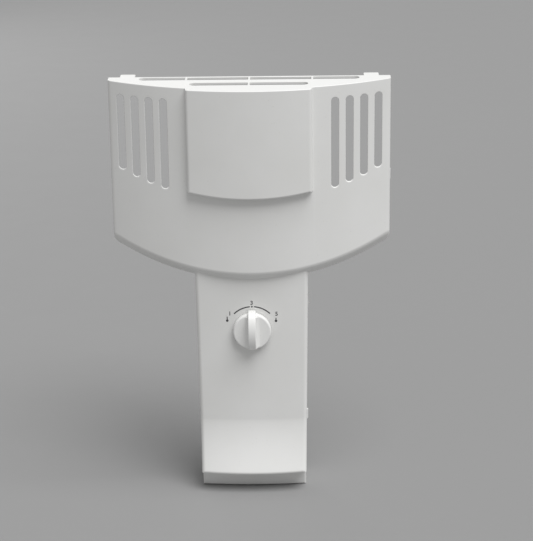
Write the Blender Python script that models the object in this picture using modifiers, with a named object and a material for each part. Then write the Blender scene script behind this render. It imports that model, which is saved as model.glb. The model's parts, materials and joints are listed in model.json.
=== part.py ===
"""Freezer air diffuser: a slotted bowl on a duct column, with a knob that turns a damper vane.

X runs to the right seen from the front, the front faces -Y, and the object stands on Z = 0.
A "depth" is a distance forward (towards -Y) of the rear plane that lies against the wall.
"""
import math

import bmesh
import bpy
from mathutils import Matrix

MM = 0.001

# overall sizes of the moulding
TOTAL_HEIGHT = 438 * MM
BOWL_WIDTH = 284 * MM
BOWL_HEIGHT = 204.5 * MM      # top down to the lowest point of its floor
BOWL_DEPTH = 50.5 * MM
BOWL_END_DEPTH = 10.8 * MM
BOWL_END_RISE = 32.1 * MM     # how far the floor has risen at the ends
BOWL_CHAMFER = 10 * MM
CHAMFER_LIMIT = 0.6           # largest share of the depth that the chamfer takes
BOWL_CORNER = 6 * MM
WALL = 2.2 * MM

# raised centre panel
PANEL_WIDTH = 124.4 * MM
PANEL_STEP = 7.5 * MM
PANEL_DRAFT = 2 * MM
PANEL_RISE = 92 * MM          # height of its lower edge over the floor of the bowl

# side slots and top grille
SLOT_WIDTH = 7.8 * MM
SLOT_PITCH = 14.6 * MM        # least distance between two slots
SLOT_PANEL_GAP = 23.3 * MM    # from the panel's edge to the middle of the first slot
SLOT_END_GAP = 12.7 * MM      # from the bowl's end to the middle of the last slot
SLOT_TOP_GAP = 12.5 * MM
SLOT_RISE = 87 * MM
GRILLE_SLOT = 10.5 * MM
GRILLE_RIM = 1.8 * MM
GRILLE_BAR = 10.7 * MM
GRILLE_RIB = 2 * MM
GRILLE_END_GAP = 31.5 * MM    # from the bowl's end to the rear row
GRILLE_PANEL_GAP = 3.2 * MM   # from the panel's edge to the front row

# column
COLUMN_TOP_WIDTH = 115.6 * MM
COLUMN_FOOT_WIDTH = 108.8 * MM
COLUMN_DEPTH = 43.4 * MM
COLUMN_CROWN = 3 * MM         # how far the face bulges over its width
LIP_CROWN = 5.5 * MM
COLUMN_CORNER = 3 * MM
FLARE_TOP_Z = 80 * MM
LIP_Z = 22 * MM
LIP_DEPTH = 58 * MM
STEP_Z = 19 * MM
STEP_DEPTH = 42 * MM
FOOT_DEPTH = 38 * MM
FOOT_INSET = 2 * MM
THROAT_RIM = 6 * MM

# tongues and snap hooks
TONGUE_END_GAP = 19.2 * MM    # from the bowl's end to the middle of a tongue
TONGUE_WIDTH = 15 * MM
TONGUE_REACH = 12 * MM
TONGUE_THICKNESS = 1.6 * MM
HOOK_HEIGHT = 11 * MM
HOOK_DEPTH = 5 * MM
HOOK_PROUD = 1.8 * MM
LOW_HOOK_Z = 67 * MM
HIGH_HOOK_DROP = 35.5 * MM    # under the bowl's floor
BOWL_HOOK_RISE = 101.5 * MM   # over the bowl's floor

# knob, stem and damper
KNOB_DROP = 53 * MM           # from the bowl's floor down to the knob's axis
KNOB_RADIUS = 19.6 * MM
KNOB_GAP = 0.8 * MM
KNOB_HEIGHT = 6 * MM
KNOB_EDGE = 1.5 * MM
KNOB_WALL = 2 * MM
KNOB_RIB_WIDTH = 8 * MM
KNOB_RIB_RISE = 11 * MM
KNOB_NOSE = 2.5 * MM
HUB_RADIUS = 5.4 * MM
STEM_RADIUS = 3 * MM
STEM_FLAT_CUT = 1.2 * MM
STEM_HUB_DEPTH = 3.8 * MM     # how far the stem stands into the grip rib
PIVOT_RADIUS = 2.2 * MM
TURN_RANGE = math.radians(45)
STOP_WIDTH = 4 * MM
STOP_MARGIN = math.radians(1.5)
COLLAR_RADIUS = 6.2 * MM
COLLAR_THICKNESS = 1.4 * MM
ARM_RADIUS = 9.6 * MM
BUSH_RADIUS = 5 * MM
BUSH_FLANGE_RADIUS = 10 * MM
BUSH_FLANGE_THICKNESS = 1.5 * MM
KEY_WIDTH = 2 * MM
KEY_HEIGHT = 1.2 * MM
BOSS_RADIUS = 8 * MM
BOSS_LENGTH = 2.8 * MM
WASHER_ROOM = 1.8 * MM
WASHER_THICKNESS = 0.35 * MM
WASHER_WAVE = 0.3 * MM
CLIP_THICKNESS = 0.4 * MM
RING_THICKNESS = 0.8 * MM
RING_RADIUS = 5.2 * MM
GROOVE_RADIUS = 2.3 * MM
COLLAR_VANE_GAP = 0.4 * MM
VANE_THICKNESS = 2 * MM
VANE_TIP_GAP = 0.5 * MM
VANE_HUB_RADIUS = 5.5 * MM
VANE_SEAL = 2.7 * MM
VANE_SEAL_THICKNESS = 4.2 * MM
SEAL_GRIP = 1.6 * MM
SET_SCREW_PAD_RISE = 2.5 * MM
SET_SCREW_PAD_RADIUS = 3.4 * MM
SET_SCREW_KEY_RADIUS = 0.7 * MM
SET_SCREW_KEY_DEPTH = 1 * MM

# duct lining, bracket and fasteners
LINER_THICKNESS = 10.7 * MM
LINER_REAR_DEPTH = 3 * MM
LINER_FOOT_GAP = 3 * MM       # liners start this far over the floor of the column's step
LINER_HOLE_RADIUS = 11.5 * MM
POST_HOLE_GAP = 0.5 * MM
BRACKET_HEIGHT = 14 * MM
BRACKET_THICKNESS = 3 * MM
BRACKET_REAR_DEPTH = 2 * MM
BRACKET_END_GAP = 1.8 * MM
BRACKET_RIB = 1.2 * MM
BRACKET_RIB_RISE = 1.5 * MM
BRACKET_HUB_RADIUS = 5.3 * MM
POST_DUCT_GAP = 7 * MM        # from the duct's side to a post's axis
POST_RADIUS = 3.5 * MM
SCREW_RADIUS = 1.3 * MM
SCREW_HEAD_RADIUS = 2.9 * MM
SCREW_HEAD_HEIGHT = 1.7 * MM
SCREW_GRIP = 12 * MM
SEAL_STRIP_WIDTH = 8 * MM
SEAL_STRIP_MARGIN = 2 * MM
CORE_HALF_WIDTH = 54 * MM
CORE_REAR_DEPTH = 30 * MM
CORE_HEIGHT = 68 * MM
CORE_TOP_GAP = 34 * MM
CORE_SCREW_X = 30 * MM
CORE_BOSS_RADIUS = 4 * MM
CORE_BOSS_GAP = 0.4 * MM
CORE_BOSS_LENGTH = 16.3 * MM
CORE_WASHER_RADIUS = 8 * MM
CORE_WASHER_THICKNESS = 1.2 * MM

# clearances
GAP = 0.3 * MM
HOLE_GAP = 0.3 * MM
THROUGH = 5 * MM              # how far a cutter runs past what it cuts

# places that follow from the sizes
BOWL_FLOOR_Z = TOTAL_HEIGHT - BOWL_HEIGHT
KNOB_Z = BOWL_FLOOR_Z - KNOB_DROP
STEM_FLAT = STEM_RADIUS - STEM_FLAT_CUT
BOSS_END = COLUMN_DEPTH - WALL - BOSS_LENGTH
FLANGE_FRONT = BOSS_END - GAP
FLANGE_REAR = FLANGE_FRONT - BUSH_FLANGE_THICKNESS
COLLAR_FRONT = FLANGE_REAR - WASHER_ROOM
COLLAR_REAR = COLLAR_FRONT - COLLAR_THICKNESS
KNOB_REAR = COLUMN_DEPTH + KNOB_GAP
KNOB_FRONT = KNOB_REAR + KNOB_HEIGHT
KNOB_CREST = KNOB_FRONT + KNOB_RIB_RISE
STEM_FRONT = KNOB_FRONT + STEM_HUB_DEPTH
RING_REAR = COLUMN_DEPTH + 2 * GAP
HUB_REAR = RING_REAR + RING_THICKNESS + 2 * GAP
BRACKET_FRONT = BRACKET_REAR_DEPTH + BRACKET_THICKNESS
VANE_REAR = BRACKET_FRONT + 2 * GAP
VANE_FRONT = COLLAR_REAR - 2 * COLLAR_VANE_GAP
DUCT_FRONT_DEPTH = COLLAR_REAR - COLLAR_VANE_GAP
DUCT_HALF_WIDTH = min(COLUMN_TOP_WIDTH, COLUMN_FOOT_WIDTH) / 2 - WALL - LINER_THICKNESS
POST_X = DUCT_HALF_WIDTH + POST_DUCT_GAP
VANE_REACH = DUCT_HALF_WIDTH - VANE_TIP_GAP
LINER_FOOT_Z = STEP_Z + WALL + LINER_FOOT_GAP
PANEL_DEPTH = BOWL_DEPTH + PANEL_STEP
CORE_TOP = TOTAL_HEIGHT - CORE_TOP_GAP
CORE_BOTTOM = CORE_TOP - CORE_HEIGHT
CORE_SCREW_Z = CORE_TOP - CORE_HEIGHT / 2
TONGUE_X = BOWL_WIDTH / 2 - TONGUE_END_GAP
REACH = max(KNOB_CREST, PANEL_DEPTH, LIP_DEPTH)
REAR_Y = (REACH - TONGUE_REACH) / 2     # the rear plane, with the whole box centred on Y = 0


def arc_radius(half_chord, rise):
    """Radius of an arc that falls away by the rise over half its chord."""
    return (half_chord ** 2 + rise ** 2) / (2 * rise)


def sagitta(radius, x):
    """How far an arc of this radius has fallen away at x."""
    return radius - math.sqrt(radius * radius - x * x)


BOWL_PLAN_RADIUS = arc_radius(BOWL_WIDTH / 2, BOWL_DEPTH - BOWL_END_DEPTH)
BOWL_FLOOR_RADIUS = arc_radius(BOWL_WIDTH / 2, BOWL_END_RISE)


def bowl_depth(x):
    return BOWL_DEPTH - sagitta(BOWL_PLAN_RADIUS, x)


def bowl_chamfer(x):
    """Size of the chamfer under the bowl, which shrinks towards the shallow ends."""
    return min(BOWL_CHAMFER, bowl_depth(x) * CHAMFER_LIMIT)


def panel_depth(x):
    return PANEL_DEPTH - sagitta(BOWL_PLAN_RADIUS + PANEL_STEP, x)


def floor_z(x):
    return BOWL_FLOOR_Z + sagitta(BOWL_FLOOR_RADIUS, x)


def column_half_width(z):
    return (COLUMN_FOOT_WIDTH + (COLUMN_TOP_WIDTH - COLUMN_FOOT_WIDTH) * z / BOWL_FLOOR_Z) / 2


def column_face(x, z, centre_depth):
    """Depth of the column's crowned face, given its depth on the centre line."""
    flare = max(0, (centre_depth - COLUMN_DEPTH) / (LIP_DEPTH - COLUMN_DEPTH))
    crown = COLUMN_CROWN + (LIP_CROWN - COLUMN_CROWN) * flare
    return centre_depth - crown * (x / column_half_width(z)) ** 2


def flare_depth(z):
    """Centre-line depth of the column between its straight part and its lip."""
    t = max(0, (FLARE_TOP_Z - z) / (FLARE_TOP_Z - LIP_Z))
    return COLUMN_DEPTH + (LIP_DEPTH - COLUMN_DEPTH) * t ** 1.5


CORE_BOSS_END = panel_depth(CORE_SCREW_X) - CORE_BOSS_LENGTH


# ---------------------------------------------------------------- helpers

for old in list(bpy.data.objects):
    bpy.data.objects.remove(old, do_unlink=True)

parts = bpy.data.collections.new("air_diffuser")
cutters = bpy.data.collections.new("cutters")
for collection in (parts, cutters):
    bpy.context.scene.collection.children.link(collection)


def make_material(name, colour, roughness, metallic=0.0):
    material = bpy.data.materials.new(name)
    material.use_nodes = True
    shader = material.node_tree.nodes["Principled BSDF"]
    shader.inputs["Base Color"].default_value = (*colour, 1)
    shader.inputs["Roughness"].default_value = roughness
    shader.inputs["Metallic"].default_value = metallic
    return material


WHITE_ABS = make_material("white_abs", (0.83, 0.83, 0.82), 0.38)
KNOB_ABS = make_material("knob_abs", (0.86, 0.86, 0.85), 0.32)
ACETAL = make_material("acetal", (0.78, 0.77, 0.72), 0.45)
NYLON = make_material("grey_nylon", (0.45, 0.46, 0.47), 0.5)
STEEL = make_material("zinc_steel", (0.62, 0.63, 0.65), 0.35, 1.0)
EPS = make_material("white_foam", (0.9, 0.9, 0.88), 0.85)
SOFT = make_material("soft_foam", (0.12, 0.12, 0.13), 0.9)


def make_empty(name, location, parent=None, turn=0.0):
    empty = bpy.data.objects.new(name, None)
    parts.objects.link(empty)
    empty.location = location
    empty.rotation_euler.y = turn
    empty.parent = parent
    return empty


frame = make_empty("diffuser_frame", (0, REAR_Y, 0))
knob_axis = make_empty("knob_axis", (0, 0, KNOB_Z), frame)
vane_axis = make_empty("vane_axis", (0, 0, 0), knob_axis, -math.pi / 4)


def add_object(name, bm, material, parent=frame):
    """Make a part, or a hidden cutter where there is no material."""
    bmesh.ops.recalc_face_normals(bm, faces=bm.faces)
    mesh = bpy.data.meshes.new(name)
    bm.to_mesh(mesh)
    bm.free()
    obj = bpy.data.objects.new(name, mesh)
    obj.parent = parent
    if material:
        parts.objects.link(obj)
        mesh.materials.append(material)
        mesh.shade_smooth()
        mesh.set_sharp_from_angle(angle=math.radians(35))
    else:
        cutters.objects.link(obj)
        obj.hide_render = True
        obj.display_type = "WIRE"
    return obj


def boolean(target, tool, operation="DIFFERENCE"):
    modifier = target.modifiers.new(tool.name, "BOOLEAN")
    modifier.object = tool
    modifier.operation = operation
    modifier.solver = "EXACT"


def add_box(bm, x, depth, z):
    """Add a box given by its X, depth and Z ranges."""
    made = bmesh.ops.create_cube(bm, size=1.0)
    for vert in made["verts"]:
        vert.co.x = x[vert.co.x > 0]
        vert.co.y = -depth[vert.co.y < 0]
        vert.co.z = z[vert.co.z > 0]
    return made["verts"]


def box(name, x, depth, z, material=None, parent=frame):
    bm = bmesh.new()
    add_box(bm, x, depth, z)
    return add_object(name, bm, material, parent)


def add_cylinder(bm, radius, depth, x=0.0, z=0.0, segments=24, turn=0.0):
    """Add a cylinder along Y from one depth to another."""
    place = Matrix.Translation((x, -(depth[0] + depth[1]) / 2, z))
    spin = Matrix.Rotation(math.pi / 2, 4, "X") @ Matrix.Rotation(turn, 4, "Z")
    made = bmesh.ops.create_cone(bm, cap_ends=True, segments=segments, radius1=radius,
                                 radius2=radius, depth=depth[1] - depth[0], matrix=place @ spin)
    return made["verts"]


def cylinder(name, radius, depth, x=0.0, z=0.0, material=None, parent=frame, segments=24):
    bm = bmesh.new()
    add_cylinder(bm, radius, depth, x, z, segments)
    return add_object(name, bm, material, parent)


def turned(name, profile, closed, material=None, parent=frame, x=0.0, z=0.0, steps=24):
    """Turn a profile of (radius, depth) points, listed from the front down the outer side."""
    mesh = bpy.data.meshes.new(name)
    edges = [(i, i + 1) for i in range(len(profile) - 1)]
    if closed:
        edges.append((len(profile) - 1, 0))
    mesh.from_pydata([(r, 0, d) for r, d in profile], edges, [])
    obj = bpy.data.objects.new(name, mesh)
    obj.parent = parent
    obj.location = (x, 0, z)
    obj.rotation_euler.x = math.pi / 2
    screw = obj.modifiers.new("turn", "SCREW")
    screw.steps = steps
    screw.render_steps = steps
    screw.use_merge_vertices = True
    screw.merge_threshold = 0.00001
    screw.use_smooth_shade = False
    if material:
        parts.objects.link(obj)
        mesh.materials.append(material)
    else:
        cutters.objects.link(obj)
        obj.hide_render = True
        obj.display_type = "WIRE"
    return obj


def bend_block(bm, columns, half_width, rear, front, bottom, top, chamfer=None):
    """Make a box cut into columns along X, with its front depth and bottom as functions of x.

    A chamfer, where there is one, takes off the lower front edge by a function of x.
    """
    half = 0.5
    bmesh.ops.create_cube(bm, size=2 * half)
    if chamfer:
        edge = [e for e in bm.edges if all(v.co.y < 0 and v.co.z < 0 for v in e.verts)]
        bmesh.ops.bevel(bm, geom=edge, offset=half / 2, segments=1, affect="EDGES")
    bmesh.ops.scale(bm, vec=(2 * half_width, 1, 1), verts=bm.verts)
    for i in range(1, columns):
        place = (-half_width + 2 * half_width * i / columns, 0, 0)
        geometry = bm.verts[:] + bm.edges[:] + bm.faces[:]
        bmesh.ops.bisect_plane(bm, geom=geometry, plane_co=place, plane_no=(1, 0, 0))
    near = 0.9 * half
    for vert in bm.verts:
        x, y, z = vert.co
        back = chamfer(x) if chamfer and y > -near else 0
        lift = chamfer(x) if chamfer and z > -near else 0
        vert.co.y = -rear if y > 0 else back - front(x)
        vert.co.z = top if z > 0 else bottom(x) + lift


def edges_between(bm, first, second):
    """Edges with one face that passes the first test and one that passes the second."""
    found = []
    for edge in bm.edges:
        if len(edge.link_faces) == 2:
            a, b = (face.normal for face in edge.link_faces)
            if (first(a) and second(b)) or (first(b) and second(a)):
                found.append(edge)
    return found


# ---------------------------------------------------------------- the moulding

def bowl_block(name, inset, material=None):
    """The bowl as a solid, drawn in by an inset on every side but the rear."""
    bm = bmesh.new()
    rear = -THROUGH if inset else 0
    bend_block(bm, 24, BOWL_WIDTH / 2 - inset, rear, lambda x: bowl_depth(x) - inset,
               lambda x: floor_z(x) + inset, TOTAL_HEIGHT - inset,
               lambda x: bowl_chamfer(x) - inset * (2 - math.sqrt(2)))
    bm.normal_update()
    ends = edges_between(bm, lambda n: n.z < -0.4, lambda n: abs(n.x) > 0.9)
    bmesh.ops.bevel(bm, geom=ends, offset=BOWL_CORNER - inset, segments=3, affect="EDGES",
                    profile=0.5)
    return add_object(name, bm, material)


def panel_block(name, inset):
    """The raised centre panel, with drafted sides."""
    bm = bmesh.new()
    rear = BOWL_DEPTH / 2
    rise = PANEL_RISE + inset
    bend_block(bm, 12, PANEL_WIDTH / 2 - inset, rear, lambda x: panel_depth(x) - inset,
               lambda x: floor_z(x) + rise, TOTAL_HEIGHT - inset)
    for vert in bm.verts:
        if abs(vert.co.x) > PANEL_WIDTH / 2 - inset - GAP and vert.co.y > -rear - GAP:
            vert.co.x += math.copysign(PANEL_DRAFT, vert.co.x)
    return add_object(name, bm, None)


def column_block(name, inset, top):
    """The column as a solid of stacked sections, drawn in by an inset."""
    rear = -THROUGH if inset else 0
    rows = [(inset, FOOT_DEPTH), (STEP_Z + inset, STEP_DEPTH), (LIP_Z + inset, LIP_DEPTH)]
    levels = 6
    for i in range(1, levels):
        z = LIP_Z + inset + (FLARE_TOP_Z - LIP_Z) * i / levels
        rows.append((z, flare_depth(z - inset)))
    rows += [(FLARE_TOP_Z + inset, COLUMN_DEPTH), (top, COLUMN_DEPTH)]
    columns = 8
    bm = bmesh.new()
    bmesh.ops.create_cube(bm, size=2.0)
    for i in range(1, columns):
        geometry = bm.verts[:] + bm.edges[:] + bm.faces[:]
        bmesh.ops.bisect_plane(bm, geom=geometry, plane_co=(-1 + 2 * i / columns, 0, 0),
                               plane_no=(1, 0, 0))
    for i in range(1, len(rows) - 1):
        geometry = bm.verts[:] + bm.edges[:] + bm.faces[:]
        bmesh.ops.bisect_plane(bm, geom=geometry,
                               plane_co=(0, 0, -1 + 2 * i / (len(rows) - 1)),
                               plane_no=(0, 0, 1))
    for vert in bm.verts:
        row = round((vert.co.z + 1) / 2 * (len(rows) - 1))
        z, depth = rows[row]
        foot = FOOT_INSET if row < 2 else 0
        vert.co.x *= column_half_width(z) - foot - inset
        vert.co.z = z
        if vert.co.y > 0:
            vert.co.y = -rear
        else:
            vert.co.y = -(column_face(vert.co.x, z, depth) - inset)
    bm.normal_update()
    corners = edges_between(bm, lambda n: n.y < -0.6, lambda n: abs(n.x) > 0.9)
    bmesh.ops.bevel(bm, geom=corners, offset=COLUMN_CORNER - inset * 0.6, segments=2,
                    affect="EDGES", profile=0.5)
    return add_object(name, bm, None)


def side_slots():
    """Round-ended slots through both ends of the bowl."""
    bm = bmesh.new()
    segments = 12
    half_step = math.pi / segments
    radius = SLOT_WIDTH / 2 / math.cos(half_step)
    first = PANEL_WIDTH / 2 + SLOT_PANEL_GAP
    room = BOWL_WIDTH / 2 - SLOT_END_GAP - first
    steps = max(1, int(room / SLOT_PITCH + 0.01))
    for side in (-1, 1):
        for i in range(steps + 1):
            x = side * (first + i * room / steps)
            top = TOTAL_HEIGHT - SLOT_TOP_GAP - SLOT_WIDTH / 2
            bottom = floor_z(x) + SLOT_RISE + SLOT_WIDTH / 2
            middle = (top + bottom) / 2
            verts = add_cylinder(bm, radius, (WALL, BOWL_DEPTH + THROUGH), x, middle,
                                 segments, half_step)
            for vert in verts:
                vert.co.z += (top - middle) * (1 if vert.co.z > middle else -1)
    return add_object("slot_cutter", bm, None)


def top_grille():
    """Two rows of slots through the top, parted by ribs, with round outer ends."""
    bm = bmesh.new()
    rows = ((GRILLE_RIM, BOWL_WIDTH / 2 - GRILLE_END_GAP, (0, PANEL_WIDTH / 2 + GRILLE_RIB / 2)),
            (GRILLE_RIM + GRILLE_SLOT + GRILLE_BAR, PANEL_WIDTH / 2 - GRILLE_PANEL_GAP, (0,)))
    height = (TOTAL_HEIGHT - 2 * WALL, TOTAL_HEIGHT + THROUGH)
    for near, half_length, ribs in rows:
        stops = [rib + GRILLE_RIB / 2 for rib in ribs]
        ends = [rib - GRILLE_RIB / 2 for rib in ribs[1:]] + [half_length]
        for start, end in zip(stops, ends):
            add_box(bm, (start, end), (near, near + GRILLE_SLOT), height)
            add_box(bm, (-end, -start), (near, near + GRILLE_SLOT), height)
        outer = [e for e in bm.edges if e.verts[0].co.xy == e.verts[1].co.xy
                 and math.isclose(abs(e.verts[0].co.x), half_length, abs_tol=GAP / 10)]
        bmesh.ops.bevel(bm, geom=outer, offset=GRILLE_SLOT / 2 - GAP, segments=4,
                        affect="EDGES", profile=0.5)
    return add_object("grille_cutter", bm, None)


def knob_bearing():
    """Boss behind the face for the bush, with its bore and key slot."""
    front = COLUMN_DEPTH - WALL / 2
    boolean(cover, cylinder("knob_boss", BOSS_RADIUS, (BOSS_END, front), 0, KNOB_Z), "UNION")
    bore = BUSH_RADIUS + HOLE_GAP
    span = (BOSS_END - THROUGH, COLUMN_DEPTH + THROUGH)
    boolean(cover, cylinder("knob_bore", bore, span, 0, KNOB_Z))
    half = KEY_WIDTH / 2 + HOLE_GAP
    key = (KNOB_Z - BUSH_RADIUS - KEY_HEIGHT - HOLE_GAP, KNOB_Z)
    boolean(cover, box("key_slot", (-half, half), (BOSS_END - THROUGH, COLUMN_DEPTH - WALL / 2),
                       key))


def screw_post(name, radius, x, z, rear, front):
    """A post on the cover with a blind pilot hole from its rear end."""
    boolean(cover, cylinder(name, radius, (rear, front), x, z, segments=16), "UNION")
    pilot = (rear - THROUGH, rear + SCREW_GRIP)
    boolean(cover, cylinder(name + "_pilot", SCREW_RADIUS + HOLE_GAP, pilot, x, z, segments=12))


def hooks_and_tongues():
    """Snap hooks along both sides and tongues behind the top."""
    for side, end in ((-1, "left"), (1, "right")):
        places = [(z, column_half_width(z), HOOK_PROUD)
                  for z in (LOW_HOOK_Z, BOWL_FLOOR_Z - HIGH_HOOK_DROP)]
        places.append((BOWL_FLOOR_Z + BOWL_HOOK_RISE, BOWL_WIDTH / 2, HOOK_PROUD / 2))
        for i, (z, half_width, proud) in enumerate(places):
            outer = half_width + proud
            x = sorted((side * (half_width - 2 * WALL), side * outer))
            hook = box(f"hook_{end}_{i}", x, (GAP, HOOK_DEPTH),
                       (z - HOOK_HEIGHT / 2, z + HOOK_HEIGHT / 2))
            for vert in hook.data.vertices:
                if abs(vert.co.x) > half_width and vert.co.y < -HOOK_DEPTH / 2:
                    vert.co.x = side * (half_width + GAP)
            boolean(cover, hook, "UNION")
        x = (side * TONGUE_X - TONGUE_WIDTH / 2, side * TONGUE_X + TONGUE_WIDTH / 2)
        tongue = box(f"tongue_{end}", x, (-TONGUE_REACH, WALL),
                     (TOTAL_HEIGHT - TONGUE_THICKNESS - GAP, TOTAL_HEIGHT - GAP))
        boolean(cover, tongue, "UNION")


cover = bowl_block("duct_cover", 0, WHITE_ABS)
boolean(cover, panel_block("panel_outer", 0), "UNION")
boolean(cover, column_block("column_outer", 0, BOWL_FLOOR_Z + 2 * BOWL_CHAMFER), "UNION")
hooks_and_tongues()
boolean(cover, bowl_block("bowl_cavity", WALL))
boolean(cover, panel_block("panel_cavity", WALL))
boolean(cover, column_block("column_cavity", WALL, BOWL_FLOOR_Z + 3 * BOWL_CHAMFER))
throat_half = COLUMN_FOOT_WIDTH / 2 - FOOT_INSET - THROAT_RIM
boolean(cover, box("throat", (-throat_half, throat_half),
                   (THROAT_RIM, FOOT_DEPTH - LIP_CROWN - THROAT_RIM), (-THROUGH, THROUGH)))
boolean(cover, side_slots())
boolean(cover, top_grille())
knob_bearing()
for side, end in ((-1, "left"), (1, "right")):
    face = column_face(POST_X, KNOB_Z, COLUMN_DEPTH) - WALL / 2
    screw_post(f"bracket_post_{end}", POST_RADIUS, side * POST_X, KNOB_Z,
               BRACKET_FRONT + GAP, face)
    screw_post(f"core_post_{end}", CORE_BOSS_RADIUS, side * CORE_SCREW_X, CORE_SCREW_Z,
               CORE_BOSS_END, panel_depth(CORE_SCREW_X) - WALL / 2)


# ---------------------------------------------------------------- bush, stem and its small parts

def stop_box(bm, angle, inner, outer, depth):
    """A radial block of the stop width, at an angle from straight up."""
    verts = add_box(bm, (-STOP_WIDTH / 2, STOP_WIDTH / 2), depth, (inner, outer))
    bmesh.ops.rotate(bm, verts=verts, cent=(0, 0, 0), matrix=Matrix.Rotation(angle, 3, "Y"))


def stem_bush():
    flange = BUSH_FLANGE_RADIUS
    bore = STEM_RADIUS + HOLE_GAP
    front = COLUMN_DEPTH + GAP
    profile = [(BUSH_RADIUS, front), (BUSH_RADIUS, FLANGE_FRONT), (flange, FLANGE_FRONT),
               (flange, FLANGE_REAR), (bore, FLANGE_REAR), (bore, front)]
    bush = turned("stem_bush", profile, True, ACETAL, knob_axis)
    key = box("bush_key", (-KEY_WIDTH / 2, KEY_WIDTH / 2),
              (FLANGE_FRONT - BUSH_FLANGE_THICKNESS / 2, COLUMN_DEPTH - WALL),
              (-BUSH_RADIUS - KEY_HEIGHT, -BUSH_RADIUS + KEY_HEIGHT), None, knob_axis)
    boolean(bush, key, "UNION")
    inner = COLLAR_RADIUS + HOLE_GAP
    half_angle = math.asin(STOP_WIDTH / 2 / inner)
    angle = TURN_RANGE + 2 * half_angle + STOP_MARGIN
    for side, end in ((-1, "left"), (1, "right")):
        bm = bmesh.new()
        stop_box(bm, side * angle, inner, BUSH_FLANGE_RADIUS - GAP,
                 (COLLAR_REAR, FLANGE_REAR + BUSH_FLANGE_THICKNESS / 2))
        boolean(bush, add_object(f"stop_lug_{end}", bm, None, knob_axis), "UNION")


def damper_stem():
    r = STEM_RADIUS
    groove = (RING_REAR + RING_THICKNESS + GAP / 3, RING_REAR - GAP / 3)
    profile = [(0, STEM_FRONT), (r - GAP, STEM_FRONT), (r, STEM_FRONT - GAP),
               (r, groove[0]), (GROOVE_RADIUS, groove[0]),
               (GROOVE_RADIUS, groove[1]), (r, groove[1]),
               (r, COLLAR_FRONT), (COLLAR_RADIUS, COLLAR_FRONT),
               (COLLAR_RADIUS, COLLAR_REAR), (r, COLLAR_REAR),
               (r, BRACKET_FRONT + GAP), (PIVOT_RADIUS, BRACKET_FRONT + GAP),
               (PIVOT_RADIUS, BRACKET_REAR_DEPTH - GAP), (0, BRACKET_REAR_DEPTH - GAP)]
    stem = turned("damper_stem", profile, False, ACETAL, knob_axis)
    bm = bmesh.new()
    stop_box(bm, 0, STEM_RADIUS, ARM_RADIUS, (COLLAR_REAR, COLLAR_FRONT))
    boolean(stem, add_object("stop_arm", bm, None, knob_axis), "UNION")
    wide = (-THROUGH, THROUGH)
    tall = (STEM_FLAT, STEM_FLAT + THROUGH)
    boolean(stem, box("knob_flat", wide, (HUB_REAR, STEM_FRONT + THROUGH), tall, None, knob_axis))
    boolean(stem, box("vane_flat", wide, (VANE_REAR, VANE_FRONT), tall, None, vane_axis))


def d_bore(name, flat, depth, parent):
    """Cutter for a D-shaped bore round the stem."""
    bm = bmesh.new()
    for vert in add_cylinder(bm, STEM_RADIUS + HOLE_GAP, depth):
        vert.co.z = min(vert.co.z, flat)
    return add_object(name, bm, None, parent)


def control_knob():
    r = KNOB_RADIUS
    inside = KNOB_FRONT - KNOB_WALL
    profile = [(0, KNOB_FRONT), (r - KNOB_EDGE, KNOB_FRONT), (r, KNOB_FRONT - KNOB_EDGE),
               (r, KNOB_REAR), (r - KNOB_WALL, KNOB_REAR), (r - KNOB_WALL, inside),
               (HUB_RADIUS, inside), (HUB_RADIUS, HUB_REAR), (0, HUB_REAR)]
    knob = turned("control_knob", profile, False, KNOB_ABS, knob_axis, steps=48)
    nose = r + KNOB_NOSE
    heel = -r + GAP
    middle = (nose + heel) / 2
    half = (nose - heel) / 2
    base = KNOB_FRONT - KNOB_EDGE / 2
    floor = inside + KNOB_WALL / 5
    skirt = r - KNOB_WALL / 2
    outline = [(skirt, floor), (skirt, KNOB_REAR + GAP), (nose, KNOB_REAR + GAP)]
    arc = 14
    for i in range(arc + 1):
        angle = math.pi * i / arc
        outline.append((middle + half * math.cos(angle),
                        base + (KNOB_CREST - base) * math.sin(angle)))
    outline.append((heel, floor))
    bm = bmesh.new()
    verts = [bm.verts.new((-KNOB_RIB_WIDTH / 2, -d, z)) for z, d in outline]
    face = bm.faces.new(verts)
    made = bmesh.ops.extrude_face_region(bm, geom=[face])
    moved = [g for g in made["geom"] if isinstance(g, bmesh.types.BMVert)]
    bmesh.ops.translate(bm, vec=(KNOB_RIB_WIDTH, 0, 0), verts=moved)
    boolean(knob, add_object("grip_rib", bm, None, knob_axis), "UNION")
    bore = (HUB_REAR - THROUGH, STEM_FRONT + GAP)
    boolean(knob, d_bore("knob_d_bore", STEM_RADIUS + GAP / 2, bore, knob_axis))


def spring_clip():
    """Bowed strip that takes up the play between the stem's flat and the knob's bore."""
    thickness = CLIP_THICKNESS
    low = STEM_FLAT + GAP
    rise = STEM_RADIUS + GAP / 2 - GAP - thickness - low
    rear = HUB_REAR + GAP
    length = STEM_FRONT - rear - GAP
    half_width = STEM_RADIUS * 0.43
    bm = bmesh.new()
    steps = 6
    bmesh.ops.create_grid(bm, x_segments=1, y_segments=steps, size=1)
    for vert in bm.verts:
        t = (vert.co.y + 1) / 2
        vert.co.x *= half_width
        vert.co.z = low + rise * math.sin(math.pi * t) * 0.9
        vert.co.y = -(rear + length * t)
    clip = add_object("knob_spring_clip", bm, STEEL, knob_axis)
    solidify = clip.modifiers.new("sheet", "SOLIDIFY")
    solidify.thickness = thickness
    solidify.offset = 1
    if clip.data.polygons[0].normal.z < 0:
        clip.data.flip_normals()


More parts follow.
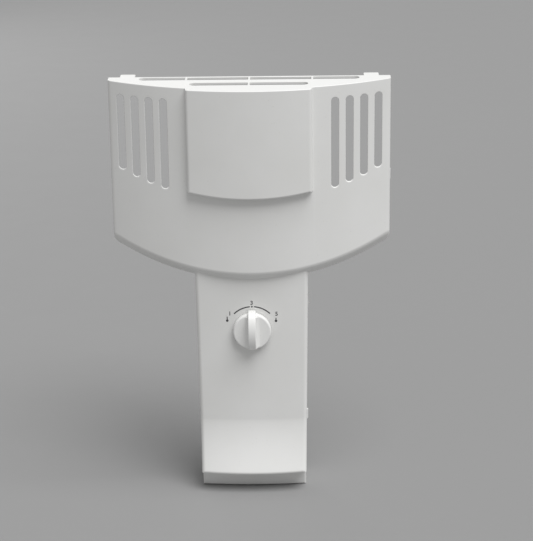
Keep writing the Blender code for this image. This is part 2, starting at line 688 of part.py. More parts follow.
def retaining_ring():
    inner = GROOVE_RADIUS + GAP
    front = RING_REAR + RING_THICKNESS
    profile = [(RING_RADIUS, front), (RING_RADIUS, RING_REAR), (inner, RING_REAR), (inner, front)]
    ring = turned("stem_retaining_ring", profile, True, STEEL, knob_axis)
    half = GROOVE_RADIUS * 0.8
    mouth = box("ring_mouth", (-half, half), (RING_REAR - THROUGH, front + THROUGH),
                (-RING_RADIUS - THROUGH, 0), None, knob_axis)
    boolean(ring, mouth)


def wave_washer():
    """Thin ring with three waves, squeezed between the bush and the stem's collar."""
    middle = (FLANGE_REAR + COLLAR_FRONT) / 2
    inner = STEM_RADIUS + 2 * GAP
    outer = COLLAR_RADIUS - GAP
    half = WASHER_THICKNESS / 2
    bm = bmesh.new()
    corners = ((inner, half), (outer, half), (outer, -half), (inner, -half))
    verts = [bm.verts.new((r, offset, 0)) for r, offset in corners]
    edges = [bm.edges.new((verts[i], verts[(i + 1) % 4])) for i in range(4)]
    bmesh.ops.spin(bm, geom=verts + edges, cent=(0, 0, 0), axis=(0, 1, 0), angle=2 * math.pi,
                   steps=24, use_merge=True)
    bmesh.ops.remove_doubles(bm, verts=bm.verts, dist=0.000001)
    for vert in bm.verts:
        wave = WASHER_WAVE * math.cos(3 * math.atan2(vert.co.z, vert.co.x))
        vert.co.y = -(middle + wave) + vert.co.y
    add_object("wave_washer", bm, STEEL, knob_axis)


# ---------------------------------------------------------------- damper vane

def damper_vane():
    hub_span = (VANE_REAR, VANE_FRONT)
    plate = VANE_REACH - VANE_SEAL + SEAL_GRIP - GAP
    vane = box("damper_vane", (-plate, plate), hub_span,
               (-VANE_THICKNESS / 2, VANE_THICKNESS / 2), ACETAL, vane_axis)
    boolean(vane, cylinder("vane_hub", VANE_HUB_RADIUS, hub_span, parent=vane_axis), "UNION")
    middle = (VANE_REAR + VANE_FRONT) / 2
    pad = VANE_HUB_RADIUS + SET_SCREW_PAD_RISE
    bm = bmesh.new()
    place = Matrix.Translation((0, -middle, pad / 2))
    bmesh.ops.create_cone(bm, cap_ends=True, segments=16, radius1=SET_SCREW_PAD_RADIUS,
                          radius2=SET_SCREW_PAD_RADIUS, depth=pad, matrix=place)
    boolean(vane, add_object("set_screw_pad", bm, None, vane_axis), "UNION")
    bore = (VANE_REAR - THROUGH, VANE_FRONT + THROUGH)
    boolean(vane, d_bore("vane_bore", STEM_FLAT + GAP, bore, vane_axis))
    bm = bmesh.new()
    place = Matrix.Translation((0, -middle, STEM_FLAT + pad / 2))
    bmesh.ops.create_cone(bm, cap_ends=True, segments=12, radius1=SCREW_RADIUS + HOLE_GAP,
                          radius2=SCREW_RADIUS + HOLE_GAP, depth=pad, matrix=place)
    boolean(vane, add_object("set_screw_hole", bm, None, vane_axis))
    bm = bmesh.new()
    low = STEM_FLAT + GAP
    high = pad - GAP
    place = Matrix.Translation((0, -middle, (low + high) / 2))
    bmesh.ops.create_cone(bm, cap_ends=True, segments=16, radius1=SCREW_RADIUS,
                          radius2=SCREW_RADIUS, depth=high - low, matrix=place)
    screw = add_object("vane_set_screw", bm, STEEL, vane_axis)
    bm = bmesh.new()
    place = Matrix.Translation((0, -middle, high))
    bmesh.ops.create_cone(bm, cap_ends=True, segments=6, radius1=SET_SCREW_KEY_RADIUS,
                          radius2=SET_SCREW_KEY_RADIUS, depth=2 * SET_SCREW_KEY_DEPTH,
                          matrix=place)
    boolean(screw, add_object("set_screw_socket", bm, None, vane_axis))


def vane_seals():
    """Soft channels gripped on the two ends of the vane."""
    inner = VANE_REACH - VANE_SEAL
    half = VANE_SEAL_THICKNESS / 2
    slot = VANE_THICKNESS / 2 + GAP
    for side, end in ((-1, "left"), (1, "right")):
        x = sorted((side * inner, side * VANE_REACH))
        seal = box(f"vane_seal_{end}", x, (VANE_REAR, VANE_FRONT), (-half, half), SOFT, vane_axis)
        groove = sorted((side * (inner - THROUGH), side * (inner + SEAL_GRIP)))
        boolean(seal, box(f"seal_groove_{end}", groove, (VANE_REAR - THROUGH, VANE_FRONT + THROUGH),
                          (-slot, slot), None, vane_axis))


# ---------------------------------------------------------------- lining, bracket and fasteners

def duct_liners():
    post_hole = POST_RADIUS + POST_HOLE_GAP
    top = BOWL_FLOOR_Z - WALL / 2
    notch = BRACKET_HEIGHT / 2 + 2 * GAP
    for side, end in ((-1, "left"), (1, "right")):
        front = column_face(column_half_width(top), top, COLUMN_DEPTH) - WALL - COLUMN_CORNER
        liner = box(f"foam_liner_{end}", sorted((0, side)), (LINER_REAR_DEPTH, front),
                    (LINER_FOOT_Z, top), EPS)
        for vert in liner.data.vertices:
            outer = column_half_width(vert.co.z) - WALL - 2 * GAP
            vert.co.x = side * (outer if abs(vert.co.x) > 0.5 else DUCT_HALF_WIDTH)
        boolean(liner, cylinder(f"post_hole_{end}", post_hole, (-THROUGH, 2 * BOWL_DEPTH),
                                side * POST_X, KNOB_Z, segments=16))
        recess = sorted((0, side * BOWL_WIDTH))
        boolean(liner, box(f"bracket_notch_{end}", recess, (-THROUGH, BRACKET_FRONT + 2 * GAP),
                           (KNOB_Z - notch, KNOB_Z + notch)))
        start = DUCT_HALF_WIDTH + SEAL_STRIP_MARGIN
        strip = sorted((side * start, side * (start + SEAL_STRIP_WIDTH)))
        for level, z in (("lower", (LINER_FOOT_Z, KNOB_Z - notch - GAP)),
                         ("upper", (KNOB_Z + notch + GAP, top))):
            box(f"duct_seal_{end}_{level}", strip, (0, LINER_REAR_DEPTH - GAP), z, SOFT)
    half = DUCT_HALF_WIDTH - GAP
    front = column_face(half, top, COLUMN_DEPTH) - WALL - 2 * GAP
    liner = box("foam_liner_front", (-half, half), (DUCT_FRONT_DEPTH, front),
                (FLARE_TOP_Z, top), EPS)
    boolean(liner, cylinder("stem_opening", LINER_HOLE_RADIUS,
                            (0, COLUMN_DEPTH), 0, KNOB_Z))


def pivot_bracket():
    half = BRACKET_HEIGHT / 2
    length = column_half_width(KNOB_Z) - WALL - BRACKET_END_GAP
    span = (BRACKET_REAR_DEPTH, BRACKET_FRONT)
    bracket = box("pivot_bracket", (-length, length), span, (-half, half), NYLON, knob_axis)
    rear = BRACKET_REAR_DEPTH - BRACKET_RIB_RISE
    rib = BRACKET_RIB
    run = POST_X - 2 * SCREW_HEAD_RADIUS
    for offset in (-half + rib, half - rib):
        strip = box(f"bracket_rib_{'low' if offset < 0 else 'high'}", (-run, run),
                    (rear, BRACKET_REAR_DEPTH + rib / 2), (offset - rib / 2, offset + rib / 2),
                    None, knob_axis)
        boolean(bracket, strip, "UNION")
    boolean(bracket, cylinder("bracket_hub", BRACKET_HUB_RADIUS,
                              (rear, BRACKET_FRONT - rib), parent=knob_axis), "UNION")
    boolean(bracket, cylinder("pivot_hole", PIVOT_RADIUS + HOLE_GAP,
                              (-THROUGH, BRACKET_FRONT + THROUGH), parent=knob_axis))
    for side, end in ((-1, "left"), (1, "right")):
        boolean(bracket, cylinder(f"ear_hole_{end}", SCREW_RADIUS + HOLE_GAP,
                                  (-THROUGH, BRACKET_FRONT + THROUGH), side * POST_X,
                                  parent=knob_axis, segments=12))


def pan_screw(name, x, z, seat, length):
    """Pan-head screw that enters from the rear, with a cross recess in its head."""
    head = seat - SCREW_HEAD_HEIGHT
    crown = head + SCREW_HEAD_HEIGHT / 3
    profile = [(0, seat + length), (SCREW_RADIUS / 2, seat + length),
               (SCREW_RADIUS, seat + length - SCREW_RADIUS), (SCREW_RADIUS, seat),
               (SCREW_HEAD_RADIUS, seat), (SCREW_HEAD_RADIUS, crown),
               (SCREW_HEAD_RADIUS * 0.75, head), (0, head)]
    screw = turned(name, profile, False, STEEL, x=x, z=z, steps=16)
    arm = SCREW_HEAD_RADIUS * 0.6
    half = SCREW_HEAD_RADIUS * 0.14
    recess = (head - THROUGH, head + SCREW_HEAD_HEIGHT / 2)
    boolean(screw, box(name + "_slot_a", (x - arm, x + arm), recess, (z - half, z + half)))
    boolean(screw, box(name + "_slot_b", (x - half, x + half), recess, (z - arm, z + arm)))


def plenum_core():
    """Foam block that fills the raised panel and turns the air towards the side slots."""
    top_draft = CORE_HEIGHT / 8
    bm = bmesh.new()
    bend_block(bm, 12, CORE_HALF_WIDTH, CORE_REAR_DEPTH,
               lambda x: panel_depth(x) - WALL - 2 * GAP, lambda x: CORE_BOTTOM, CORE_TOP)
    for vert in bm.verts:
        if vert.co.y > -CORE_REAR_DEPTH - GAP and vert.co.z > CORE_TOP - GAP:
            vert.co.z -= top_draft
    core = add_object("foam_plenum_core", bm, EPS)
    washer_front = CORE_REAR_DEPTH - GAP
    washer_rear = washer_front - CORE_WASHER_THICKNESS
    for side, end in ((-1, "left"), (1, "right")):
        x = side * CORE_SCREW_X
        deep = panel_depth(CORE_SCREW_X) + THROUGH
        boolean(core, cylinder(f"core_boss_hole_{end}", CORE_BOSS_RADIUS + CORE_BOSS_GAP,
                               (CORE_BOSS_END - GAP, deep), x, CORE_SCREW_Z, segments=16))
        boolean(core, cylinder(f"core_screw_hole_{end}", SCREW_RADIUS + 2 * HOLE_GAP,
                               (0, CORE_BOSS_END + THROUGH), x, CORE_SCREW_Z, segments=12))
        hole = SCREW_RADIUS + HOLE_GAP
        profile = [(CORE_WASHER_RADIUS, washer_front), (CORE_WASHER_RADIUS, washer_rear),
                   (hole, washer_rear), (hole, washer_front)]
        turned(f"core_washer_{end}", profile, True, NYLON, x=x, z=CORE_SCREW_Z)
        seat = washer_rear - GAP
        length = CORE_BOSS_END + SCREW_GRIP - seat - 2 * GAP
        pan_screw(f"core_screw_{end}", x, CORE_SCREW_Z, seat, length)


stem_bush()
damper_stem()
control_knob()
spring_clip()
retaining_ring()
wave_washer()
damper_vane()
vane_seals()
duct_liners()
pivot_bracket()
for side, end in ((-1, "left"), (1, "right")):
    pan_screw(f"bracket_screw_{end}", side * POST_X, KNOB_Z, BRACKET_REAR_DEPTH - GAP, SCREW_GRIP)
plenum_core()
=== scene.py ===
import json
import math

import bmesh
import bpy
from mathutils import Matrix, Vector


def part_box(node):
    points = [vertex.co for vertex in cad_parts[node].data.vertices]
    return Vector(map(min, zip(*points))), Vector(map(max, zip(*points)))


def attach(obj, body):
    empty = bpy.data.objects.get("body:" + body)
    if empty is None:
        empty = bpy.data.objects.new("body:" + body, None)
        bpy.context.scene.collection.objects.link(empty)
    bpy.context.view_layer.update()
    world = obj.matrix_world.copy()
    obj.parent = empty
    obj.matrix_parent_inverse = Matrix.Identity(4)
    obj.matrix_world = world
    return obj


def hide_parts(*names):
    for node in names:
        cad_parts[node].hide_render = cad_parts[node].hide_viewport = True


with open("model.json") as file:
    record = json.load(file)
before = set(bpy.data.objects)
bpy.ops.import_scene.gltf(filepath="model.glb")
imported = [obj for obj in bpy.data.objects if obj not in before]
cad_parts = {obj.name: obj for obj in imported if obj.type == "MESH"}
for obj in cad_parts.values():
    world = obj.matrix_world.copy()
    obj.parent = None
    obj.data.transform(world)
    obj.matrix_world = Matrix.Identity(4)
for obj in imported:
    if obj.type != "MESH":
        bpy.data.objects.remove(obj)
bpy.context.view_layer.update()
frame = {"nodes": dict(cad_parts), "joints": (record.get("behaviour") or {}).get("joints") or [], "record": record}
rearY = next(m["pos_m"][1] for m in frame["record"]["mounts"] if m["name"] == "rear_rim")
knobPlace = Vector(frame["joints"][0]["pos_m"])


def metres(**sizes):
    return {name: size / 1000 for name, size in sizes.items()}


def only(obj):
    bpy.ops.object.select_all(action="DESELECT")
    obj.select_set(True)
    bpy.context.view_layer.objects.active = obj


def pick(obj, kind, test):
    # enters edit mode with the faces or edges that pass the test selected
    only(obj)
    bpy.ops.object.mode_set(mode="EDIT")
    bpy.ops.mesh.select_mode(type=kind)
    bpy.ops.mesh.select_all(action="DESELECT")
    bm = bmesh.from_edit_mesh(obj.data)
    bm.normal_update()
    for item in (bm.faces if kind == "FACE" else bm.edges):
        if test(item):
            item.select_set(True)
    bmesh.update_edit_mesh(obj.data)


def done():
    bpy.ops.object.mode_set(mode="OBJECT")


def middle(edge):
    return (edge.verts[0].co + edge.verts[1].co) / 2


def between(edge, first, second):
    # true where one face of the edge passes the first test and the other the second
    if len(edge.link_faces) != 2:
        return False
    a, b = (face.normal for face in edge.link_faces)
    return (first(a) and second(b)) or (first(b) and second(a))


def near(a, b, gap=1e-5):
    return abs(a - b) < gap


def bevel(obj, test, width, segments=3):
    pick(obj, "EDGE", test)
    bpy.ops.mesh.bevel(offset=width, segments=segments, profile=0.5, affect="EDGES",
                       clamp_overlap=False)
    done()


def slicePlane(obj, place, normal, clear=False):
    only(obj)
    bpy.ops.object.mode_set(mode="EDIT")
    bpy.ops.mesh.select_all(action="SELECT")
    bpy.ops.mesh.bisect(plane_co=place, plane_no=normal, use_fill=clear, clear_outer=clear)
    done()


def addBlock(name, x, depth, z):
    # a box from its ranges across, forward of the wall, and up
    size = (x[1] - x[0], depth[1] - depth[0], z[1] - z[0])
    place = ((x[0] + x[1]) / 2, -(depth[0] + depth[1]) / 2, (z[0] + z[1]) / 2)
    bpy.ops.mesh.primitive_cube_add(size=1, location=place)
    return settle(name, size)


def addRod(name, radius, depth, x=0.0, z=0.0, sides=48):
    # a cylinder along the depth
    place = (x, -(depth[0] + depth[1]) / 2, z)
    bpy.ops.mesh.primitive_cylinder_add(vertices=sides, radius=radius, depth=depth[1] - depth[0],
                                        location=place, rotation=(math.pi / 2, 0, 0))
    return settle(name)


def settle(name, size=None):
    obj = bpy.context.active_object
    obj.name = name
    obj.data.name = name
    if size:
        obj.scale = size
    only(obj)
    bpy.ops.object.transform_apply(location=True, rotation=True, scale=True)
    return obj


def remap(obj, rule):
    for vert in obj.data.vertices:
        vert.co = rule(*vert.co)
    obj.data.update()


def modify(obj, kind, **settings):
    only(obj)
    modifier = obj.modifiers.new(kind.lower(), kind)
    for key, value in settings.items():
        setattr(modifier, key, value)
    bpy.ops.object.modifier_apply(modifier=modifier.name)


def join(obj, tools, operation="UNION"):
    for tool in tools:
        modify(obj, "BOOLEAN", object=tool, operation=operation, solver="EXACT")
        bpy.data.objects.remove(tool, do_unlink=True)


def cut(obj, tools):
    join(obj, tools, "DIFFERENCE")


weld = 0.000002                           # points closer than this become one
hair = 0.0001                             # room for rounding where a face is found by its place


def finishShape(obj, angle=32):
    # joins stray doubles, then shades it so that broad faces stay flat
    only(obj)
    bpy.ops.object.mode_set(mode="EDIT")
    bpy.ops.mesh.select_all(action="SELECT")
    bpy.ops.mesh.remove_doubles(threshold=weld)
    done()
    bpy.ops.object.shade_smooth_by_angle(angle=math.radians(angle))
    modify(obj, "WEIGHTED_NORMAL", mode="FACE_AREA", weight=50, keep_sharp=True)


def place(obj, body, slot, material, *nodes):
    obj.data.transform(Matrix.Translation((0, rearY, 0)))
    obj.data.materials.clear()
    obj.data.materials.append(material)
    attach(obj, body)
    if nodes:
        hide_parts(*nodes)
    return obj


# the moulding is made with the wall at Y = 0 and its front towards -Y, then moved to rearY
cover = metres(width=284, top=438, depth=50.5, endDepth=10.8, floorZ=233.5, endRise=32.1, wall=2.2,
               corner=7, chamfer=10, softEdge=3, topEdge=0.8, smallEdge=0.8, overcut=5,
               slice=3.5, straight=34, bent=37.2, touch=0.5, panelRoom=2, liftLow=3, liftTop=8)
cover["chamferShare"] = 0.6               # most of the depth that the chamfer may take
cover["innerShare"] = 0.6                 # how much of the wall an inner corner gives up
panel = metres(width=124.4, step=7.5, draft=0.5, rise=92, edge=2.2, root=1.6, leastEdge=0.3)


def arcRadius(halfChord, rise):
    return (halfChord ** 2 + rise ** 2) / (2 * rise)


def fall(radius, x):
    return radius - math.sqrt(radius * radius - x * x)


planRadius = arcRadius(cover["width"] / 2, cover["depth"] - cover["endDepth"])
floorRadius = arcRadius(cover["width"] / 2, cover["endRise"])


def floorZ(x):
    return cover["floorZ"] + fall(floorRadius, x)


column = metres(topWidth=115.6, footWidth=109.6, depth=43.4, crown=3, lipCrown=5.5, corner=4,
                flareTop=80, lipZ=20.5, lipDepth=58, lipEdge=1, stepZ=17.5, stepDepth=42, footDepth=38,
                footInset=0.3, footCorner=2.5, rim=6, footUp=4, hollowUp=1, intoBowl=20, over=10)
flareRows = 24
crownColumns = 12                         # on each side of the middle


def columnHalf(z):
    taper = (column["topWidth"] - column["footWidth"]) * z / cover["floorZ"]
    return (column["footWidth"] + taper) / 2


def flareDepth(z):
    t = max(0, min(1, (column["flareTop"] - z) / (column["flareTop"] - column["lipZ"])))
    return column["depth"] + (column["lipDepth"] - column["depth"]) * t ** 1.5


def columnFace(x, z):
    # depth of the crowned front of the column
    depth = flareDepth(z)
    flare = (depth - column["depth"]) / (column["lipDepth"] - column["depth"])
    crown = column["crown"] + (column["lipCrown"] - column["crown"]) * flare
    return depth - crown * (x / columnHalf(z)) ** 2


def bowlBlock(name, inset=0.0):
    # the bowl with its raised panel, built flat and then bent to its plan and floor arcs
    c = cover
    half = c["width"] / 2 - inset
    front = c["depth"] - inset
    low = c["floorZ"] + inset
    top = c["top"] - inset
    rear = -c["overcut"] if inset else 0
    chamfer = c["chamfer"] - inset * (2 - math.sqrt(2))
    soft = max(c["softEdge"] - inset, c["smallEdge"])
    obj = addBlock(name, (-half, half), (rear, front), (low, top))
    bevel(obj, lambda e: all(near(abs(v.co.x), half) and near(v.co.z, low) for v in e.verts),
          c["corner"] - inset * c["innerShare"], 8)
    slicePlane(obj, (0, chamfer - front, low), (0, -1, -1), clear=True)
    slope = math.sqrt(0.5)                # the chamfer leans at 45 degrees

    def onChamfer(n):
        return near(n.y, -slope, 0.01) and near(n.z, -slope, 0.01)

    bevel(obj, lambda e: any(onChamfer(f.normal) for f in e.link_faces)
          or near(e.verts[0].co.x, e.verts[1].co.x)
          and all(near(abs(v.co.x), half) and near(v.co.y, -front) for v in e.verts), soft, 5)
    side = panel["width"] / 2 + panel["draft"] - inset
    bottom = c["floorZ"] + panel["rise"] - panel["draft"] + inset
    for x in (-side, side):
        slicePlane(obj, (x, 0, 0), (1, 0, 0))
    slicePlane(obj, (0, 0, bottom), (0, 0, 1))
    pick(obj, "FACE", lambda f: f.normal.y < -0.99 and near(f.calc_center_median().y, -front)
         and abs(f.calc_center_median().x) < side and f.calc_center_median().z > bottom)
    bpy.ops.mesh.extrude_region_move(TRANSFORM_OT_translate={"value": (0, -panel["step"], 0)})
    done()
    face = -front - panel["step"]

    def narrow(x, y, z):
        if near(y, face):
            x -= math.copysign(panel["draft"], x) if near(abs(x), side) else 0
            z += panel["draft"] if near(z, bottom) else 0
        return x, y, z

    remap(obj, narrow)
    edge = max(panel["edge"] - inset / 3, panel["leastEdge"])
    bevel(obj, lambda e: all(near(v.co.y, face) for v in e.verts) and between(
        e, lambda n: n.y < -0.99, lambda n: n.y > -0.5 and n.z < 0.5), edge, 4)
    bevel(obj, lambda e: all(near(v.co.y, -front) for v in e.verts) and between(
        e, lambda n: n.y < -0.99, lambda n: n.y > -0.5 and n.z < 0.5)
        and abs(middle(e).x) < side + panel["draft"] and middle(e).z > bottom - panel["draft"],
        panel["root"], 3)
    if not inset:
        bevel(obj, lambda e: between(e, lambda n: n.z > 0.99,
                                     lambda n: abs(n.z) < 0.5 and n.y < 0.9), c["topEdge"], 4)
        cutSlots(obj, front, top)
    count = int(half / c["slice"])
    for i in range(-count, count + 1):
        slicePlane(obj, (i * c["slice"], 0, 0), (1, 0, 0))
    return bend(obj, bottom, inset)


slots = metres(width=7.8, first=85.5, pitch=14.6, topGap=12.5, rise=87, lip=0.7, pocket=7, over=5,
               panelRoom=10, endRoom=6)
grille = metres(slot=10.5, rim=1.8, bar=10.7, rib=2, longHalf=110.5, shortHalf=59, lip=0.4,
                over=5, endFlat=0.3, rearRoom=1, endRoom=16)


def cutSlots(obj, front, top):
    # pockets a little deeper than the wall, which the hollow then opens
    tools = []
    for side in (-1, 1):
        for i in range(4):
            x = side * (slots["first"] + i * slots["pitch"])
            radius = slots["width"] / 2
            high = top - slots["topGap"] - radius
            low = floorZ(x) + slots["rise"] + radius
            reach = (front - slots["pocket"], front + slots["over"])
            rod = addRod(f"slot{i}", radius, reach, x, low, 32)
            remap(rod, lambda px, y, z, low=low, high=high: (px, y, z + (high - low) * (z > low)))
            tools.append(rod)
    rowDepths = (grille["rim"], grille["rim"] + grille["slot"] + grille["bar"])
    longRow = (0, panel["width"] / 2 + grille["rib"] / 2)
    for depth, half, ribs in zip(rowDepths, (grille["longHalf"], grille["shortHalf"]), (longRow, (0,))):
        starts = [rib + grille["rib"] / 2 for rib in ribs]
        ends = [rib - grille["rib"] / 2 for rib in ribs[1:]] + [half]
        for start, end in zip(starts, ends):
            for side in (-1, 1):
                x = sorted((side * start, side * end))
                box = addBlock("grilleSlot", x, (depth, depth + grille["slot"]),
                               (top - grille["over"], top + grille["over"]))
                if end == half:
                    bevel(box, lambda e, s=side: all(near(v.co.x, s * half) for v in e.verts)
                          and near(e.verts[0].co.y, e.verts[1].co.y), grille["slot"] / 2 - grille["endFlat"],
                          8)
                tools.append(box)
    cut(obj, tools)
    half = cover["width"] / 2
    bevel(obj, lambda e: between(e, lambda n: n.y < -0.99, lambda n: abs(n.y) < 0.1)
          and panel["width"] / 2 + slots["panelRoom"] < abs(middle(e).x) < half - slots["endRoom"]
          and near(middle(e).y, -front) and middle(e).z > cover["floorZ"] + slots["rise"],
          slots["lip"], 3)
    bevel(obj, lambda e: between(e, lambda n: n.z > 0.99, lambda n: abs(n.z) < 0.1)
          and grille["rearRoom"] < -middle(e).y < cover["straight"]
          and abs(middle(e).x) < half - grille["endRoom"], grille["lip"], 2)


def bend(obj, panelLow, inset):
    c = cover
    chamfer = c["chamfer"] + c["softEdge"]
    slotLow = floorZ(slots["first"]) + slots["rise"] - c["liftLow"]
    front = c["depth"] - inset
    straight = c["straight"]              # the top stays straight as far forward as the grille

    def rule(x, y, z):
        # the chamfer shrinks with the depth that is left at the ends
        local = front - fall(planRadius, x)
        share = min(1, c["chamferShare"] * local / c["chamfer"])
        low = c["floorZ"] + inset
        depth = -y
        if depth > 0 and z < low + chamfer + c["touch"]:
            if depth > front - chamfer - c["touch"]:
                depth = local - (front - depth) * share
            else:
                depth *= (local - chamfer * share) / (front - chamfer)
        elif depth > straight:
            depth -= min(1, (depth - straight) / (c["bent"] - straight)) * fall(planRadius, x)
        start, end = low + chamfer, slotLow
        if abs(x) < panel["width"] / 2 + c["panelRoom"]:
            start, end = panelLow + c["liftLow"], c["top"] - c["liftTop"]
        lift = 1 - max(0, min(1, (z - start) / (end - start)))
        return x, -depth, z + lift * fall(floorRadius, x)

    remap(obj, rule)
    return obj


def columnBlock(name, top, inset=0.0):
    # the column, from the lip over its foot to inside the bowl
    k = column
    half = k["topWidth"] / 2 - inset
    front = k["depth"] - inset
    lip = k["lipZ"] + inset
    rear = -cover["overcut"] if inset else 0
    obj = addBlock(name, (-half, half), (rear, front), (lip, top))
    bevel(obj, lambda e: all(near(abs(v.co.x), half) and near(v.co.y, -front) for v in e.verts),
          k["corner"] - inset * cover["innerShare"], 6)
    if not inset:
        bevel(obj, lambda e: between(e, lambda n: n.z < -0.99, lambda n: abs(n.z) < 0.1
                                     and n.y < 0.5), k["lipEdge"], 4)
    for i in range(1, flareRows + 1):
        z = lip + k["lipEdge"] + (k["flareTop"] - lip - k["lipEdge"]) * i / flareRows
        slicePlane(obj, (0, 0, z), (0, 0, 1))
    for i in range(-crownColumns, crownColumns + 1):
        slicePlane(obj, (i * (half - k["corner"]) / crownColumns, 0, 0), (1, 0, 0))

    def rule(x, y, z):
        if -y > front - k["corner"] - hair:
            shift = flareDepth(z - inset) - k["depth"]
            flare = shift / (k["lipDepth"] - k["depth"])
            crown = k["crown"] + (k["lipCrown"] - k["crown"]) * flare
            y -= shift - crown * (x / half) ** 2
        return x * (columnHalf(z) - inset) / half, y, z

    remap(obj, rule)
    return obj


def footBlock(name, inset=0.0):
    # the recessed foot under the lip, with a crowned front
    k = column
    half = k["footWidth"] / 2 - k["footInset"] - inset
    rear = -cover["overcut"] if inset else 0
    top = k["lipZ"] + (inset + k["hollowUp"] if inset else k["footUp"])
    obj = addBlock(name, (-half, half), (rear, k["footDepth"] - inset), (inset, top))
    bevel(obj, lambda e: all(near(abs(v.co.x), half) and v.co.y < rear - k["footDepth"] / 2
                             for v in e.verts),
          k["footCorner"] - inset * cover["innerShare"], 4)
    for i in range(-crownColumns, crownColumns + 1):
        slicePlane(obj, (i * (half - k["footCorner"]) / crownColumns, 0, 0), (1, 0, 0))

    def rule(x, y, z):
        if -y > k["footDepth"] - inset - k["footCorner"] - hair:
            slope = (k["stepDepth"] - k["footDepth"]) * (z - inset) / k["stepZ"]
            y -= slope - k["crown"] * (x / half) ** 2
        return x, y, z

    remap(obj, rule)
    return obj


tabs = metres(tongueX=122.8, tongueWidth=15, tongueReach=12, tongueThick=1.6, tongueEdge=0.4,
              tongueCorner=1.2, hookEdge=0.3,
              hookHeight=11, hookDepth=5, hookProud=1.8, lowHook=67, highHook=198, bowlHook=335,
              gap=0.3)


def addHooks(obj):
    t = tabs
    pieces = []
    for side in (-1, 1):
        spots = [(z, columnHalf(z), t["hookProud"]) for z in (t["lowHook"], t["highHook"])]
        spots.append((t["bowlHook"], cover["width"] / 2, t["hookProud"] / 2))
        for z, half, proud in spots:
            x = sorted((side * (half - 2 * cover["wall"]), side * (half + proud)))
            hook = addBlock("hook", x, (t["gap"], t["hookDepth"]),
                            (z - t["hookHeight"] / 2, z + t["hookHeight"] / 2))

            def lean(px, y, pz, half=half, side=side):
                leaning = abs(px) > half and -y > t["hookDepth"] / 2
                return (side * (half + t["gap"]) if leaning else px), y, pz

            remap(hook, lean)
            bevel(hook, lambda e, half=half: all(abs(v.co.x) > half for v in e.verts),
                  t["hookEdge"], 2)
            pieces.append(hook)
    join(obj, pieces)


def addTongues(obj):
    t = tabs
    for side in (-1, 1):
        x = (side * t["tongueX"] - t["tongueWidth"] / 2, side * t["tongueX"] + t["tongueWidth"] / 2)
        tongue = addBlock("tongue", x, (-t["tongueReach"], cover["wall"]),
                          (cover["top"] - t["tongueThick"] - t["gap"], cover["top"] - t["gap"]))
        tip = t["tongueReach"] - t["tongueCorner"] - hair
        bevel(tongue, lambda e: all(near(v.co.y, t["tongueReach"]) for v in e.verts)
              and near(e.verts[0].co.x, e.verts[1].co.x), t["tongueCorner"], 4)
        bevel(tongue, lambda e: between(e, lambda n: abs(n.z) > 0.99, lambda n: abs(n.z) < 0.1)
              and all(v.co.y > tip for v in e.verts), t["tongueEdge"], 2)
        join(obj, [tongue])


bearing = metres(boss=8, bossEnd=38.4, bore=5.3, keyHalf=1.3, keyDrop=6.5, post=3.5, postRear=5.3,
                 pilot=1.6, grip=12, corePost=4, coreRear=40, coreX=30, postX=48.5,
                 skin=1.1, coreSkin=1.5, coreFrom=20)


def coverBearing(obj):
    # the knob's bearing, and the posts that the bracket and the foam core are screwed to
    b = bearing
    over = cover["overcut"]
    z = knobPlace.z
    join(obj, [addRod("boss", b["boss"], (b["bossEnd"], column["depth"] - b["skin"]), 0, z, 64)])
    rear = b["bossEnd"] - over
    cut(obj, [addRod("bore", b["bore"], (rear, column["depth"] + over), 0, z, 64),
              addBlock("key", (-b["keyHalf"], b["keyHalf"]), (rear, column["depth"] - b["skin"]),
                       (z - b["keyDrop"], z))])
    coreZ = (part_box("core_screw_left")[0].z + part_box("core_screw_left")[1].z) / 2
    for side in (-1, 1):
        x = side * b["postX"]
        front = columnFace(x, z) - b["skin"]
        join(obj, [addRod("post", b["post"], (b["postRear"], front), x, z, 32)])
        cut(obj, [addRod("pilot", b["pilot"], (0, b["postRear"] + b["grip"]), x, z, 24)])
        x = side * b["coreX"]
        front = cover["depth"] + panel["step"] - fall(planRadius, x) - b["coreSkin"]
        join(obj, [addRod("corePost", b["corePost"], (b["coreRear"], front), x, coreZ, 32)])
        cut(obj, [addRod("corePilot", b["pilot"], (b["coreFrom"], b["coreRear"] + b["grip"]), x,
                         coreZ, 24)])


def ductCover(material):
    wall = cover["wall"]
    over = cover["overcut"]
    bowlZ = cover["floorZ"] + column["intoBowl"]
    obj = bowlBlock("ductCoverMoulding")
    join(obj, [columnBlock("columnOuter", bowlZ), footBlock("footOuter")])
    addHooks(obj)
    cut(obj, [bowlBlock("bowlHollow", wall)])
    cut(obj, [columnBlock("columnHollow", bowlZ + column["over"], wall)])
    cut(obj, [footBlock("footHollow", wall)])
    addTongues(obj)
    throat = column["footWidth"] / 2 - column["footInset"] - column["rim"]
    cut(obj, [addBlock("throat", (-throat, throat), (column["rim"], column["footDepth"]
              - column["lipCrown"] - column["rim"]), (-over, over))])
    coverBearing(obj)
    finishShape(obj)
    return place(obj, "cover", "white_abs", material, "duct_cover")


# a hollow disc with an arched grip that ends in a pointer nose
knob = metres(radius=19.6, rear=44.2, front=50.2, edge=1.8, rearEdge=0.5, wall=2, hub=5.4,
              hubRear=45.4, ribWidth=8, crest=61.2, base=49.45, ribFloor=48.6, nose=22.1, heel=-19.3,
              skirt=18.6, noseRear=44.5, ribEdge=1.1, rootRadius=4.5, rootReach=8.5, rootDisc=17.7,
              bore=3.3, flat=3.15, boreFront=54.3, over=1)


